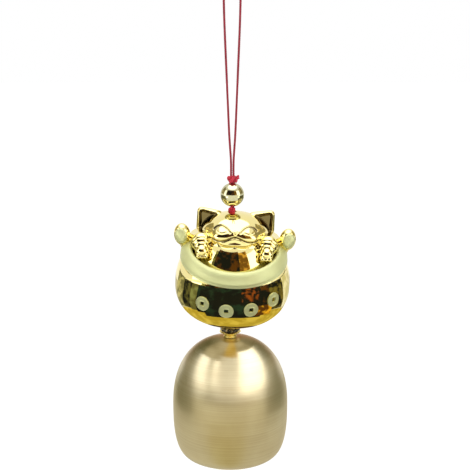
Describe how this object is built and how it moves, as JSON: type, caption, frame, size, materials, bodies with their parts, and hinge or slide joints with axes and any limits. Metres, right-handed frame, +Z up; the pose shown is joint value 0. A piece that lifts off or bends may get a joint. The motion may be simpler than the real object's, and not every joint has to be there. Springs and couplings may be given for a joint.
{
  "type": "hanging bell chime",
  "caption": "Small hanging chime: a gold-plated lucky cat in a round bowl, threaded on a red cord above a spun copper bell with a clapper.",
  "frame": {"origin": "where the inside of the cord's loop rests on its hook", "axes": "+Z up along the cord, -Y towards the front of the cat, +X to the right as seen from the front"},
  "size_m": [0.0418, 0.0406, 0.1588],
  "materials": {
    "red_cord": "twisted satin cord",
    "knot_cord": "tightly wound satin cord",
    "bead_plate": "polished pale gold plating",
    "gold_plate": "mirror gold plating on a moulded body",
    "cream_gold": "matt pale gold paint",
    "dark_bead": "gloss black",
    "cup_gold": "polished brass",
    "bell_copper": "circumferentially brushed copper",
    "washer_steel": "stamped",
    "clapper_brass": "tumbled"
  },
  "bodies": {
    "loop": {"hanging_loop": "red_cord"},
    "knot": {"top_knot": "knot_cord", "bead_cord": "red_cord"},
    "bead": {"top_bead": "bead_plate"},
    "seat_knot": {"head_knot": "knot_cord"},
    "figure": {"cat_body": "gold_plate", "left_arm": "gold_plate", "right_arm": "gold_plate", "left_leg": "gold_plate", "right_leg": "gold_plate", "left_sole_pad": "cream_gold", "right_sole_pad": "cream_gold", "treasure_bowl": "gold_plate", "bowl_collar": "cream_gold", "coin_1": "cream_gold", "coin_2": "cream_gold", "coin_3": "cream_gold", "coin_4": "cream_gold", "body_cord": "red_cord"},
    "neck": {"neck_bead": "dark_bead", "neck_cord": "red_cord"},
    "bell_group": {"neck_cup": "cup_gold", "bell": "bell_copper", "crown_washer": "washer_steel"},
    "crown": {"crown_knot": "knot_cord"},
    "clapper_group": {"clapper_cord": "red_cord", "clapper": "clapper_brass", "clapper_knot": "knot_cord"}
  },
  "joints": [
    {"name": "chime_swing", "type": "hinge", "parent": "loop", "child": "knot", "pos_m": [0, 0, -0.0612], "axis": [0, 1, 0], "range_deg": [-25, 25]},
    {"name": "bead_turn", "type": "hinge", "parent": "knot", "child": "bead", "pos_m": [0, 0, -0.0666], "axis": [0, 0, 1], "continuous": true},
    {"name": "chime_nod", "type": "hinge", "parent": "knot", "child": "seat_knot", "pos_m": [0, 0, -0.0706], "axis": [1, 0, 0], "range_deg": [-12, 12]},
    {"name": "figure_turn", "type": "hinge", "parent": "seat_knot", "child": "figure", "pos_m": [0, 0, -0.0722], "axis": [0, 0, 1], "continuous": true},
    {"name": "bell_swing", "type": "hinge", "parent": "figure", "child": "neck", "pos_m": [-0.00075, 0, -0.11174], "axis": [0, 1, 0], "range_deg": [-12, 12]},
    {"name": "bell_turn", "type": "hinge", "parent": "neck", "child": "bell_group", "pos_m": [-0.00075, 0, -0.11604], "axis": [0, 0, 1], "continuous": true},
    {"name": "clapper_turn", "type": "hinge", "parent": "neck", "child": "crown", "pos_m": [-0.00075, 0, -0.1182], "axis": [0, 0, 1], "continuous": true},
    {"name": "clapper_swing", "type": "hinge", "parent": "crown", "child": "clapper_group", "pos_m": [-0.00075, 0, -0.12054], "axis": [0, 1, 0], "range_deg": [-30, 30]}
  ]
}
